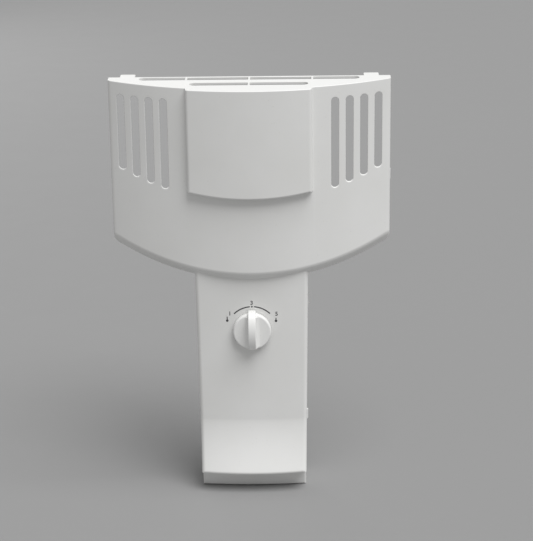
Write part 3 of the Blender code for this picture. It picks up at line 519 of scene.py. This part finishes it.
def archSolid(name, halfWidth, floor):
    # the side view of the grip, as half an ellipse that goes straight back to the floor
    k = knob
    center = (k["nose"] + k["heel"]) / 2
    bpy.ops.mesh.primitive_cylinder_add(vertices=128, radius=1, depth=1, location=(0, -k["base"], center),
                                        rotation=(0, math.pi / 2, 0))
    arch = settle(name)
    rise = k["crest"] - k["base"]
    half = (k["nose"] - k["heel"]) / 2
    remap(arch, lambda x, y, z: (x * 2 * halfWidth, -k["base"] + (y + k["base"]) * rise,
                                 center + (z - center) * half))
    slicePlane(arch, (0, -k["base"], 0), (0, 1, 0), clear=True)
    pick(arch, "FACE", lambda f: f.normal.y > 0.99)
    bpy.ops.mesh.extrude_region_move(TRANSFORM_OT_translate={"value": (0, k["base"] - floor, 0)})
    done()
    return arch


def gripRib():
    k = knob
    half = k["ribWidth"] / 2
    rib = archSolid("gripRib", half, k["noseRear"])
    cut(rib, [addBlock("heelRoom", (-2 * half, 2 * half), (k["noseRear"] - k["over"], k["ribFloor"]),
                       (2 * k["heel"], k["skirt"]))])
    bevel(rib, lambda e: between(e, lambda n: abs(n.x) > 0.99, lambda n: abs(n.x) < 0.1)
          and (-middle(e).y > k["base"] + 2 * hair or middle(e).z > k["nose"] - hair),
          k["ribEdge"], 4)
    reach = k["rootReach"]
    radius = k["rootRadius"]
    root = addBlock("root", (-reach, reach), (k["ribFloor"], k["front"] + radius),
                    (k["heel"], -k["heel"]))
    for side in (-1, 1):
        bpy.ops.mesh.primitive_cylinder_add(vertices=64, radius=radius, depth=4 * -k["heel"],
                                            location=(side * reach, -k["front"] - radius, 0))
        cut(root, [settle("rootCurve")])
    join(root, [archSolid("rootArch", 2 * reach, k["ribFloor"]), addRod("rootDisc", k["rootDisc"],
                (k["ribFloor"] - k["over"], k["crest"]), 0, 0, 96)], "INTERSECT")
    join(rib, [root])
    return rib


def controlKnob(material):
    k = knob
    obj = addRod("controlKnob", k["radius"], (k["rear"], k["front"]), 0, 0, 128)
    rim = k["radius"] - k["over"]
    bevel(obj, lambda e: all(near(v.co.y, -k["front"]) and v.co.xz.length > rim for v in e.verts),
          k["edge"], 5)
    pick(obj, "FACE", lambda f: f.normal.y > 0.99)
    bpy.ops.mesh.inset(thickness=k["wall"])
    depth = k["front"] - k["wall"] - k["rear"]
    bpy.ops.mesh.extrude_region_move(TRANSFORM_OT_translate={"value": (0, -depth, 0)})
    done()
    bevel(obj, lambda e: all(near(v.co.y, -k["rear"]) and v.co.xz.length > rim for v in e.verts),
          k["rearEdge"], 3)
    join(obj, [addRod("hub", k["hub"], (k["hubRear"], k["base"]), 0, 0, 48), gripRib()])
    bore = addRod("bore", k["bore"], (k["rear"] - 3 * k["over"], k["boreFront"]), 0, 0, 48)
    remap(bore, lambda x, y, z: (x, y, min(z, k["flat"])))
    cut(obj, [bore])
    finishShape(obj, 28)
    obj.data.transform(Matrix.Translation((0, 0, knobPlace.z)))
    return place(obj, "knob", "knob_abs", material, "control_knob")


dial = metres(radius=25.6, line=1.25, dot=0.9, gap=1.9, numberHeight=4.2, bold=0.12, lift=0.01,
              ink=0.05, bulb=1.35, stem=0.9)
dial["figureShare"] = 0.7                 # height of a figure as a share of the type size
dial["sweep"] = 46                        # degrees each way from the top
dial["numbers"] = (("1", -22.8, 17.9), ("3", -0.2, 29.6), ("5", 25.2, 17.2))  # text and its place
dial["marks"] = (("cold", -25.6, 10.2, 4.4), ("colder", 24.6, 9.6, 3.4))      # and the tube's top


def printed(obj, name, material):
    # gives a flat mark its film of ink and lays it on the face of the column
    only(obj)
    bpy.ops.object.mode_set(mode="EDIT")
    bpy.ops.mesh.select_all(action="SELECT")
    bpy.ops.mesh.remove_doubles(threshold=weld)
    bpy.ops.mesh.normals_make_consistent(inside=False)
    done()
    modify(obj, "SOLIDIFY", thickness=dial["ink"], offset=0)

    def lay(x, y, z):
        high = z + knobPlace.z
        return x, y - columnFace(x, high) - dial["lift"] - dial["ink"] / 2, high

    remap(obj, lay)
    only(obj)
    bpy.ops.object.mode_set(mode="EDIT")
    bpy.ops.mesh.select_all(action="SELECT")
    bpy.ops.mesh.normals_make_consistent(inside=False)
    done()
    obj.name = name
    obj.data.name = name
    return place(obj, "cover", "dial_ink", material)


def dialArc(side, material):
    d = dial
    bpy.ops.mesh.primitive_circle_add(vertices=720, radius=d["radius"] - d["line"] / 2,
                                      rotation=(math.pi / 2, 0, 0))
    arc = settle("arc")
    start = math.degrees(d["gap"] / d["radius"])

    def kept(co):
        angle = math.degrees(math.atan2(side * co.x, co.z))
        return start < angle < d["sweep"]

    pick(arc, "EDGE", lambda e: not kept(middle(e)))
    bpy.ops.mesh.delete(type="EDGE")
    bpy.ops.mesh.select_all(action="SELECT")
    wide = (d["radius"] + d["line"] / 2) / (d["radius"] - d["line"] / 2)
    bpy.ops.mesh.extrude_region_move()
    bpy.ops.transform.resize(value=(wide, 1, wide), center_override=(0, 0, 0))
    done()
    printed(arc, "dialArc" + ("Left" if side < 0 else "Right"), material)


def dialNumber(text, x, z, material):
    bpy.ops.object.text_add(rotation=(math.pi / 2, 0, 0))
    number = bpy.context.active_object
    number.data.body = text
    number.data.size = dial["numberHeight"] / dial["figureShare"]
    number.data.offset = dial["bold"]
    number.data.align_x = "CENTER"
    number.data.align_y = "CENTER"
    bpy.ops.object.convert(target="MESH")
    number = settle("number")
    number.data.transform(Matrix.Translation((x / 1000, 0, z / 1000)))
    printed(number, "dialNumber" + text, material)


def dialDisc(name, radius, x, z, material, stem=0):
    bpy.ops.mesh.primitive_circle_add(vertices=32, radius=radius, fill_type="NGON",
                                      rotation=(math.pi / 2, 0, 0), location=(x, 0, z))
    disc = settle("disc")
    if stem:
        # the tube of the thermometer grows out of the top of its bulb
        half = dial["stem"] / 2
        pick(disc, "EDGE", lambda e: abs(middle(e).x - x) < half and middle(e).z > z)
        bpy.ops.mesh.extrude_region_move(TRANSFORM_OT_translate={"value": (0, 0, stem - radius)})
        done()
    printed(disc, name, material)


def dialPrint(material):
    for side in (-1, 1):
        dialArc(side, material)
    for text, x, z in dial["numbers"]:
        dialNumber(text, x, z, material)
    dialDisc("dialDot", dial["dot"], 0, dial["radius"], material)
    for name, x, z, stem in dial["marks"]:
        dialDisc(name + "Mark", dial["bulb"], x / 1000, z / 1000, material, stem / 1000)




def turned(name, outline, steps=48):
    # a body turned about the depth axis from its outline of (radius, depth) points
    bpy.ops.mesh.primitive_circle_add(vertices=len(outline), radius=1)
    obj = settle(name)
    for vert, (radius, depth) in zip(obj.data.vertices, outline):
        vert.co = (radius, -depth, 0)
    only(obj)
    bpy.ops.object.mode_set(mode="EDIT")
    bpy.ops.mesh.select_all(action="SELECT")
    bpy.ops.mesh.spin(steps=steps, angle=2 * math.pi, center=(0, 0, 0), axis=(0, 1, 0))
    bpy.ops.mesh.select_all(action="SELECT")
    bpy.ops.mesh.remove_doubles(threshold=weld)
    bpy.ops.mesh.dissolve_degenerate(threshold=weld)
    bpy.ops.mesh.select_all(action="SELECT")
    bpy.ops.mesh.normals_make_consistent(inside=False)
    done()
    return obj


sharpAngle = math.radians(38)             # edges that turn more than this are rounded


def roundEdges(obj, width, segments=2):
    modify(obj, "BEVEL", width=width, segments=segments, limit_method="ANGLE", angle_limit=sharpAngle)


def span(node):
    # middle of a node across and up, and its depths at the rear and the front
    low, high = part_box(node)
    return (low.x + high.x) / 2, (low.z + high.z) / 2, rearY - high.y, rearY - low.y


screw = metres(radius=1.3, head=2.9, headHeight=1.7, tip=1.3, recess=0.85, arm=1.75, armWidth=0.85,
               over=1)
screw["dome"] = ((1, 0.45), (0.94, 0.7), (0.78, 0.9))   # shares of the head's radius and height
screw["crown"] = 0.55


def panScrew(node, name, material):
    s = screw
    x, z, rear, front = span(node)
    seat = rear + s["headHeight"]
    outline = [(0, front), (s["radius"] / 2, front), (s["radius"], front - s["tip"]),
               (s["radius"], seat), (s["head"], seat)]
    outline += [(s["head"] * wide, seat - high * s["headHeight"]) for wide, high in s["dome"]]
    outline += [(s["head"] * s["crown"], rear), (0, rear)]
    obj = turned(name, outline)
    recess = (rear - s["over"], rear + s["recess"])
    arm = s["arm"]
    half = s["armWidth"] / 2
    cut(obj, [addBlock("armA", (-arm, arm), recess, (-half, half)),
              addBlock("armB", (-half, half), recess, (-arm, arm))])
    finishShape(obj)
    obj.data.transform(Matrix.Translation((x, 0, z)))
    place(obj, "cover", "zinc_steel", material, node)


washer = metres(radius=8, bore=1.6, edge=0.25)
ring = metres(radius=5.2, bore=2.6, mouth=1.84, edge=0.1, over=2)


def flatRing(node, name, body, slot, material, values):
    x, z, rear, front = span(node)
    if "mouth" in values:
        x = 0
        z = knobPlace.z
    outline = [(values["radius"], front), (values["radius"], rear), (values["bore"], rear),
               (values["bore"], front)]
    obj = turned(name, outline, 64)
    if "mouth" in values:
        mouth, over = values["mouth"], values["over"]
        cut(obj, [addBlock("mouth", (-mouth, mouth), (rear - over, front + over),
                           (-2 * values["radius"], 0))])
    roundEdges(obj, values["edge"])
    finishShape(obj)
    obj.data.transform(Matrix.Translation((x, 0, z)))
    place(obj, body, slot, material, node)


joinGap = 0.000003
flatAngle = math.radians(0.8)             # faces that turn less than this become one


def softened(node, name, body, slot, material, edge):
    # a part that keeps the CAD shape and gets rounded edges
    obj = bpy.data.objects.new(name, frame["nodes"][node].data.copy())
    obj.data.name = name
    bpy.context.scene.collection.objects.link(obj)
    only(obj)
    obj.data.transform(Matrix.Translation((0, -rearY, 0)))
    if obj.data.has_custom_normals:
        bpy.ops.mesh.customdata_custom_splitnormals_clear()
    bpy.ops.object.mode_set(mode="EDIT")
    bpy.ops.mesh.select_all(action="SELECT")
    bpy.ops.mesh.remove_doubles(threshold=joinGap)
    bpy.ops.mesh.dissolve_limited(angle_limit=flatAngle)
    done()
    roundEdges(obj, edge)
    finishShape(obj)
    place(obj, body, slot, material, node)


class Tree:
    # builds a node tree with few words
    def __init__(self, tree):
        self.tree = tree

    def add(self, kind, inputs=None, **settings):
        node = self.tree.nodes.new("ShaderNode" + kind)
        for key, value in settings.items():
            setattr(node, key, value)
        for key, value in (inputs or {}).items():
            if isinstance(value, bpy.types.NodeSocket):
                self.tree.links.new(value, node.inputs[key])
            else:
                node.inputs[key].default_value = value
        return node

    def ramp(self, value, start, end):
        return self.add("MapRange", {"Value": value, "From Min": start, "From Max": end}).outputs[0]


def newGroup(name, inputs, outputs):
    group = bpy.data.node_groups.new(name, "ShaderNodeTree")
    for label, value in inputs.items():
        socket = group.interface.new_socket(label, in_out="INPUT", socket_type="NodeSocketFloat")
        socket.default_value = value
    for label in outputs:
        group.interface.new_socket(label, in_out="OUTPUT", socket_type="NodeSocketFloat")
    return group, group.nodes.new("NodeGroupInput"), group.nodes.new("NodeGroupOutput")


# fine spark-eroded grain, slow clouding and a few specks of dust
skinScales = {"Grain": 1500, "Cloud": 16, "Speck": 420}
skinRanges = {"cloud": (0.3, 0.7), "speck": (0.74, 0.8)}


def mouldedSkinGroup():
    group, start, end = newGroup("mouldedSkin", skinScales, ("Height", "Cloud", "Specks"))
    tree = Tree(group)
    place = tree.add("TexCoord").outputs["Object"]
    grain = tree.add("TexNoise", {"Vector": place, "Scale": start.outputs["Grain"], "Detail": 3.0})
    cloud = tree.add("TexNoise", {"Vector": place, "Scale": start.outputs["Cloud"], "Detail": 4.0})
    speck = tree.add("TexNoise", {"Vector": place, "Scale": start.outputs["Speck"], "Detail": 1.0})
    links = group.links
    links.new(grain.outputs["Fac"], end.inputs["Height"])
    links.new(tree.ramp(cloud.outputs["Fac"], *skinRanges["cloud"]), end.inputs["Cloud"])
    links.new(tree.ramp(speck.outputs["Fac"], *skinRanges["speck"]), end.inputs["Specks"])
    return group


# closed beads pressed against each other, each with its own tint
beadScales = {"Beads": 260}
beadRound = (0, 0.3)                      # distances from a seam over which a bead rises
seamFade = (0.09, 0.0)


def beadFoamGroup():
    group, start, end = newGroup("beadFoam", beadScales, ("Height", "Seam", "Tint"))
    tree = Tree(group)
    place = tree.add("TexCoord").outputs["Object"]
    edges = tree.add("TexVoronoi", {"Vector": place, "Scale": start.outputs["Beads"]},
                     feature="DISTANCE_TO_EDGE")
    cells = tree.add("TexVoronoi", {"Vector": place, "Scale": start.outputs["Beads"]})
    tint = tree.add("SeparateColor", {"Color": cells.outputs["Color"]})
    links = group.links
    links.new(tree.ramp(edges.outputs["Distance"], *beadRound), end.inputs["Height"])
    links.new(tree.ramp(edges.outputs["Distance"], *seamFade), end.inputs["Seam"])
    links.new(tint.outputs["Red"], end.inputs["Tint"])
    return group


mouldedSkin = mouldedSkinGroup()
beadFoam = beadFoamGroup()


def newMaterial(name, metallic=0.0):
    material = bpy.data.materials.new(name)
    material.use_nodes = True
    shader = material.node_tree.nodes["Principled BSDF"]
    shader.inputs["Metallic"].default_value = metallic
    return material, shader, Tree(material.node_tree)


def mixColour(tree, factor, first, second):
    node = tree.add("Mix", {0: factor}, data_type="RGBA")
    for socket, value in ((node.inputs[6], first), (node.inputs[7], second)):
        if isinstance(value, bpy.types.NodeSocket):
            tree.tree.links.new(value, socket)
        else:
            socket.default_value = (*value, 1)
    return node.outputs[2]


def finish(tree, shader, colour, roughness, height, strength, distance):
    bump = tree.add("Bump", {"Height": height, "Strength": strength, "Distance": distance})
    for socket, value in (("Base Color", colour), ("Roughness", roughness),
                          ("Normal", bump.outputs["Normal"])):
        tree.tree.links.new(value, shader.inputs[socket])


plastics = {
    "whiteAbs": {"colour": (0.8, 0.8, 0.79), "aged": (0.765, 0.765, 0.75), "roughness": 0.42,
                 "grain": 1500, "strength": 0.12},
    "knobAbs": {"colour": (0.83, 0.83, 0.82), "aged": (0.8, 0.8, 0.785), "roughness": 0.34,
                "grain": 1900, "strength": 0.08},
    "naturalAcetal": {"colour": (0.76, 0.75, 0.7), "aged": (0.7, 0.69, 0.64), "roughness": 0.36,
                      "grain": 1200, "strength": 0.06, "dust": 0.1},
    "greyNylon": {"colour": (0.4, 0.41, 0.42), "aged": (0.33, 0.335, 0.34), "roughness": 0.55,
                  "grain": 1000, "strength": 0.25, "dust": 0.1},
    "dialInk": {"colour": (0.045, 0.045, 0.05), "aged": (0.075, 0.075, 0.08), "roughness": 0.6,
                "grain": 2200, "strength": 0.2, "dust": 0}}
dustColour = (0.3, 0.28, 0.25)
grainDepth = 0.0002
plasticGloss = (-0.04, 0.05)              # how far the roughness drifts each way


def mouldedPlastic(name, colour, aged, roughness, grain, strength, dust=0.12):
    material, shader, tree = newMaterial(name)
    skin = tree.add("Group", node_tree=mouldedSkin)
    skin.inputs["Grain"].default_value = grain
    clean = mixColour(tree, skin.outputs["Cloud"], colour, aged)
    dusty = tree.add("Math", {0: skin.outputs["Specks"], 1: dust}, operation="MULTIPLY").outputs[0]
    shade = mixColour(tree, dusty, clean, dustColour)
    gloss = tree.add("MapRange", {"Value": skin.outputs["Cloud"],
                                  "To Min": roughness + plasticGloss[0],
                                  "To Max": roughness + plasticGloss[1]}).outputs[0]
    finish(tree, shader, shade, gloss, skin.outputs["Height"], strength, grainDepth)
    return material


foams = {
    "expandedFoam": {"colour": (0.86, 0.86, 0.84), "seamColour": (0.66, 0.66, 0.64), "beads": 260,
                     "roughness": 0.72, "strength": 0.5, "distance": 0.0006},
    "softFoam": {"colour": (0.11, 0.11, 0.12), "seamColour": (0.02, 0.02, 0.022), "beads": 1100,
                 "roughness": 0.9, "strength": 0.9, "distance": 0.0005}}
beadTint = 0.9                            # the darkest bead, as a share of the colour
beadGloss = (-0.08, 0.04)


def foamPlastic(name, colour, seamColour, beads, roughness, strength, distance):
    material, shader, tree = newMaterial(name)
    foam = tree.add("Group", node_tree=beadFoam)
    foam.inputs["Beads"].default_value = beads
    shaded = tuple(c * beadTint for c in colour)
    tinted = mixColour(tree, foam.outputs["Tint"], colour, shaded)
    shade = mixColour(tree, foam.outputs["Seam"], tinted, seamColour)
    gloss = tree.add("MapRange", {"Value": foam.outputs["Tint"],
                                  "To Min": roughness + beadGloss[0],
                                  "To Max": roughness + beadGloss[1]}).outputs[0]
    finish(tree, shader, shade, gloss, foam.outputs["Height"], strength, distance)
    return material


# zinc plating with a faint crystalline mottle over its grain
plating = {"bright": (0.66, 0.67, 0.69), "dull": (0.5, 0.5, 0.5), "grain": 2600, "mottle": 320,
           "smooth": 0.26, "rough": 0.42, "strength": 0.15, "distance": 0.0001}


def platedSteel():
    p = plating
    material, shader, tree = newMaterial("platedSteel", 1.0)
    skin = tree.add("Group", node_tree=mouldedSkin)
    skin.inputs["Grain"].default_value = p["grain"]
    skin.inputs["Cloud"].default_value = p["mottle"]
    shade = mixColour(tree, skin.outputs["Cloud"], p["bright"], p["dull"])
    gloss = tree.add("MapRange", {"Value": skin.outputs["Cloud"], "To Min": p["smooth"],
                                  "To Max": p["rough"]}).outputs[0]
    finish(tree, shader, shade, gloss, skin.outputs["Height"], p["strength"], p["distance"])
    return material


finishes = {name: mouldedPlastic(name, **values) for name, values in plastics.items()}
for name, values in foams.items():
    finishes[name] = foamPlastic(name, **values)
finishes["zincSteel"] = platedSteel()
print("materials made")

ductCover(finishes["whiteAbs"])
print("cover made")
controlKnob(finishes["knobAbs"])
dialPrint(finishes["dialInk"])
print("knob and dial made")

# node, piece, body, slot, finish and edge radius of the parts that keep the CAD shape
pairedParts = (
    ("vane_seal_{}", "vaneSeal{}", "knob", "soft_foam", "softFoam", 0.0004),
    ("foam_liner_{}", "foamLiner{}", "cover", "white_foam", "expandedFoam", 0.001),
    ("duct_seal_{}_lower", "ductSeal{}Lower", "cover", "soft_foam", "softFoam", 0.0005),
    ("duct_seal_{}_upper", "ductSeal{}Upper", "cover", "soft_foam", "softFoam", 0.0005))
singleParts = (
    ("foam_liner_front", "foamLinerFront", "cover", "white_foam", "expandedFoam", 0.0008),
    ("foam_plenum_core", "foamPlenumCore", "cover", "white_foam", "expandedFoam", 0.0015),
    ("pivot_bracket", "pivotBracket", "cover", "grey_nylon", "greyNylon", 0.0003),
    ("damper_vane", "damperVane", "knob", "acetal", "naturalAcetal", 0.0003),
    ("damper_stem", "damperStem", "knob", "acetal", "naturalAcetal", 0.0002),
    ("stem_bush", "stemBush", "cover", "acetal", "naturalAcetal", 0.0002),
    ("vane_set_screw", "vaneSetScrew", "knob", "zinc_steel", "zincSteel", 0.0001),
    ("wave_washer", "waveWasher", "cover", "zinc_steel", "zincSteel", 0.00005),
    ("knob_spring_clip", "knobSpringClip", "knob", "zinc_steel", "zincSteel", 0.00005))

for side in ("left", "right"):
    title = side.title()
    panScrew(f"bracket_screw_{side}", f"bracketScrew{title}", finishes["zincSteel"])
    panScrew(f"core_screw_{side}", f"coreScrew{title}", finishes["zincSteel"])
    flatRing(f"core_washer_{side}", f"coreWasher{title}", "cover", "grey_nylon",
             finishes["greyNylon"], washer)
    for node, name, body, slot, look, edge in pairedParts:
        softened(node.format(side), name.format(title), body, slot, finishes[look], edge)
flatRing("stem_retaining_ring", "stemRetainingRing", "knob", "zinc_steel", finishes["zincSteel"],
         ring)
for node, name, body, slot, look, edge in singleParts:
    softened(node, name, body, slot, finishes[look], edge)
print("inner parts made")


camera = {"lens": 133.087, "distance": 2.0837, "azimuth": 0.97, "elevation": 20.41,
          "roll": -0.77, "aim": (0.01476, rearY, 0.22944)}
studio = {"keyFrom": (0.31, -0.31, 0.9), "keyAngle": 42, "keyStrength": 3.1,
          "rearPlace": (-0.9, 2.0, 0.7), "rearSize": 0.9, "rearPower": 3,
          "target": (0, 0, 0.24), "floor": (0.25, 0.25, 0.25), "floorSize": 14, "sky": 0.4}


def addCamera():
    data = bpy.data.cameras.new("camera")
    data.lens = camera["lens"]
    data.clip_end = 20                    # past the far edge of the floor
    obj = bpy.data.objects.new("camera", data)
    bpy.context.scene.collection.objects.link(obj)
    a, e, r = (math.radians(camera[k]) for k in ("azimuth", "elevation", "roll"))
    back = Vector((math.sin(a) * math.cos(e), -math.cos(a) * math.cos(e), math.sin(e)))
    right = Vector((math.cos(a), math.sin(a), 0))
    up = back.cross(right)
    across = right * math.cos(r) + up * math.sin(r)
    upward = up * math.cos(r) - right * math.sin(r)
    turn = Matrix((across, upward, back)).transposed().to_4x4()
    obj.matrix_world = Matrix.Translation(Vector(camera["aim"]) + back * camera["distance"]) @ turn
    bpy.context.scene.camera = obj


def addLight(name, kind, place):
    data = bpy.data.lights.new(name, kind)
    obj = bpy.data.objects.new(name, data)
    bpy.context.scene.collection.objects.link(obj)
    obj.location = place
    aim = Vector(studio["target"]) - obj.location
    obj.rotation_euler = aim.to_track_quat("-Z", "Y").to_euler()
    return data


def addLights():
    s = studio
    key = addLight("key", "SUN", Vector(s["target"]) + 2 * Vector(s["keyFrom"]))
    key.angle = math.radians(s["keyAngle"])
    key.energy = s["keyStrength"]
    rear = addLight("rear", "AREA", s["rearPlace"])
    rear.shape = "DISK"
    rear.size = s["rearSize"]
    rear.energy = s["rearPower"]


def addStage():
    bpy.ops.mesh.primitive_plane_add(size=studio["floorSize"], location=(0, 0, 0))
    floor = bpy.context.active_object
    floor.name = "floor"
    floor.data.materials.append(mouldedPlastic("floorPaint", studio["floor"], studio["floor"], 0.8,
                                               300, 0.02, 0))
    world = bpy.data.worlds.new("studio")
    world.use_nodes = True
    world.node_tree.nodes["Background"].inputs["Color"].default_value = (1, 1, 1, 1)
    world.node_tree.nodes["Background"].inputs["Strength"].default_value = studio["sky"]
    bpy.context.scene.world = world
    bpy.context.scene.view_settings.view_transform = "Standard"


addCamera()
addLights()
addStage()
print("camera, lights and floor made")
